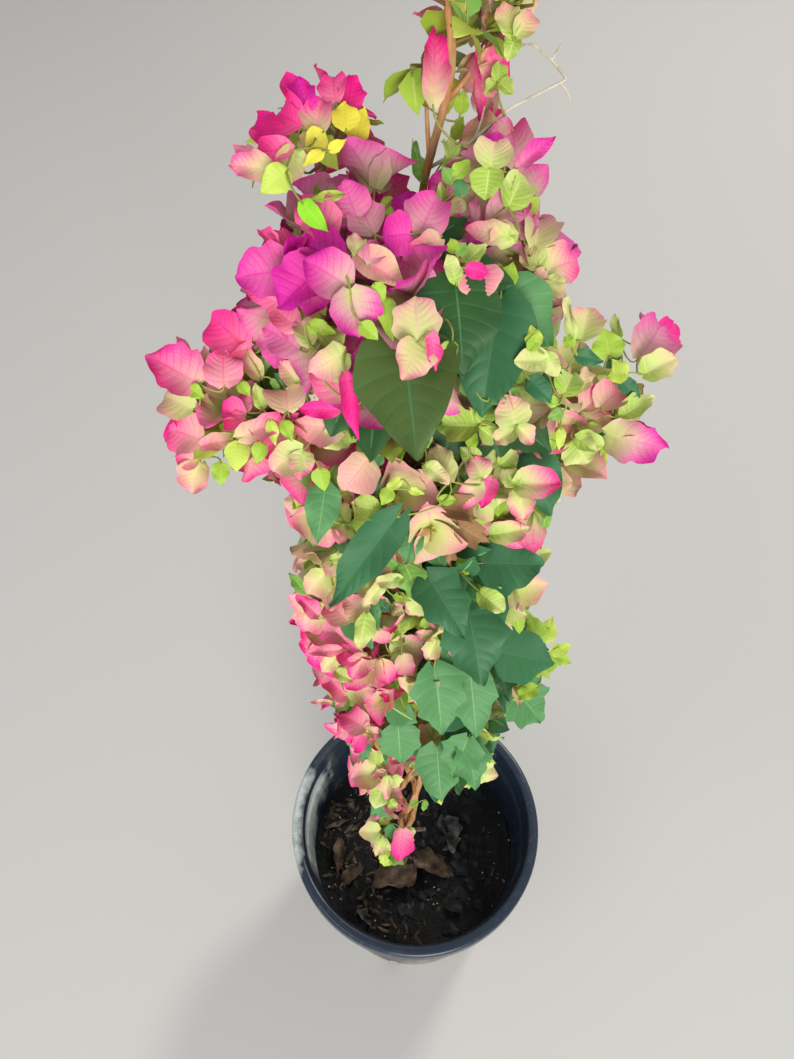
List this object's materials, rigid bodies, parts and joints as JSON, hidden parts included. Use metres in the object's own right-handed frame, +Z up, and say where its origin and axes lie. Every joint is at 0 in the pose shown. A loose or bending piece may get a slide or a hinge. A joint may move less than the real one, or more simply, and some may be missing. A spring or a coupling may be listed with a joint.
{
  "type": "potted bougainvillea",
  "caption": "Flowering bougainvillea shrub in a black nursery pot: a few twisted woody canes clothed from the soil up in sprays of pink and cream bracts and green leaves.",
  "frame": {"origin": "middle of the pot's flat underside", "axes": "+Z up along the canes, -Y towards the viewer of the picture, +X to the viewer's right"},
  "size_m": [0.356, 0.356, 1.464],
  "materials": {
    "pot_plastic": "black moulded plastic with a dull sheen and dried mud",
    "potting_soil": "damp dark potting mix of bark crumbs and perlite",
    "cane_bark": "rough tan bark",
    "dead_wood": "dry, bleached, barkless wood",
    "bract_pink": "papery pink bracts",
    "bract_cream": "papery cream-green bracts",
    "leaf_green": "smooth green leaves"
  },
  "bodies": {
    "root": {"pot": "pot_plastic", "soil": "potting_soil", "trunk": "cane_bark", "cane_lead": "cane_bark", "cane_left": "cane_bark", "cane_right": "cane_bark", "dead_twig": "dead_wood", "bough_high_left": "cane_bark", "bough_side_top": "cane_bark", "bough_near_top": "cane_bark", "bough_crown_front": "cane_bark", "bough_crown_right": "cane_bark", "bough_left_outer": "cane_bark", "bough_left_inner": "cane_bark", "bough_front_low": "cane_bark", "bough_right_low": "cane_bark", "bough_right_inner": "cane_bark", "bough_right_outer": "cane_bark", "bough_low_left": "cane_bark", "bough_back_left": "cane_bark", "bough_back_right": "cane_bark", "bough_low_shoot": "cane_bark", "foliage_high_left": "bract_pink", "foliage_top": "bract_pink", "foliage_side_top": "bract_cream", "foliage_near_top": "bract_pink", "foliage_crown_left": "bract_pink", "foliage_crown_front": "bract_pink", "foliage_crown_right": "leaf_green", "foliage_upper_right": "bract_cream", "foliage_left_outer": "bract_pink", "foliage_left_inner": "bract_pink", "foliage_front_low": "bract_cream", "foliage_right_low": "bract_cream", "foliage_right_inner": "leaf_green", "foliage_right_outer": "bract_cream", "foliage_low_left": "bract_cream", "foliage_back_left": "bract_pink", "foliage_back_right": "leaf_green", "foliage_mid_left": "bract_cream", "foliage_mid_front": "bract_cream", "foliage_mid_right": "leaf_green", "foliage_mid_back": "bract_cream", "foliage_pink_left": "bract_pink", "foliage_mid_centre": "bract_cream", "foliage_side_right": "leaf_green", "foliage_back_low": "leaf_green", "foliage_low_pink": "bract_pink", "foliage_low_leaves": "leaf_green", "foliage_back_lower": "bract_cream", "foliage_foot_left": "bract_pink", "foliage_foot_right": "leaf_green", "foliage_foot_low": "bract_cream", "foliage_low_shoot": "bract_pink"}
  },
  "joints": []
}
